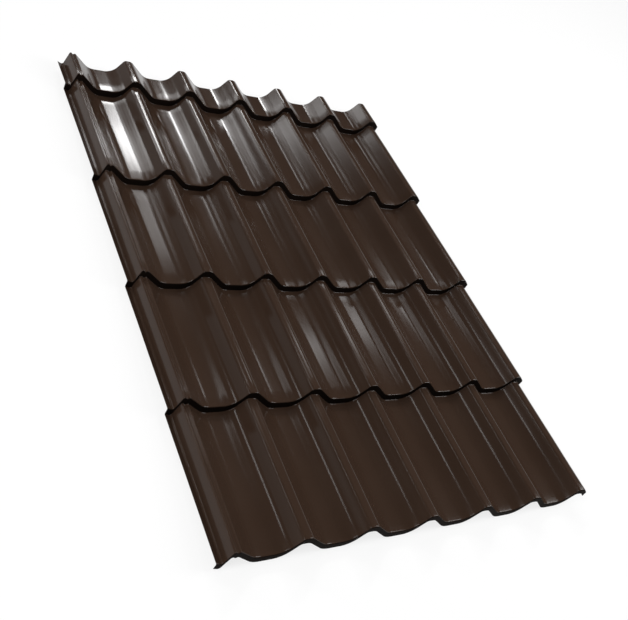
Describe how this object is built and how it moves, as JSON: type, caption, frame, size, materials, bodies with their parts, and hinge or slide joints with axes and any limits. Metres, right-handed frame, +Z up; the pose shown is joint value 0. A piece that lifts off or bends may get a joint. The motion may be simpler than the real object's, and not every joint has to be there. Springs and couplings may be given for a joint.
{
  "type": "tile effect metal roofing sheet",
  "caption": "Thin coated steel roofing sheet pressed to look like courses of pantiles, with rolled waves across, steps along and lapping side edges.",
  "frame": {"origin": "on the floor under the middle of the sheet, where it lies flat on the feet of its steps", "axes": "+Z up, +Y up the roof slope from the eaves edge to the head, +X across the waves with the lap edge at -X"},
  "size_m": [0.8414, 1.1692, 0.0503],
  "materials": {
    "brown_coating": "gloss"
  },
  "bodies": {
    "root": {"roofing_sheet": "brown_coating"}
  },
  "joints": []
}
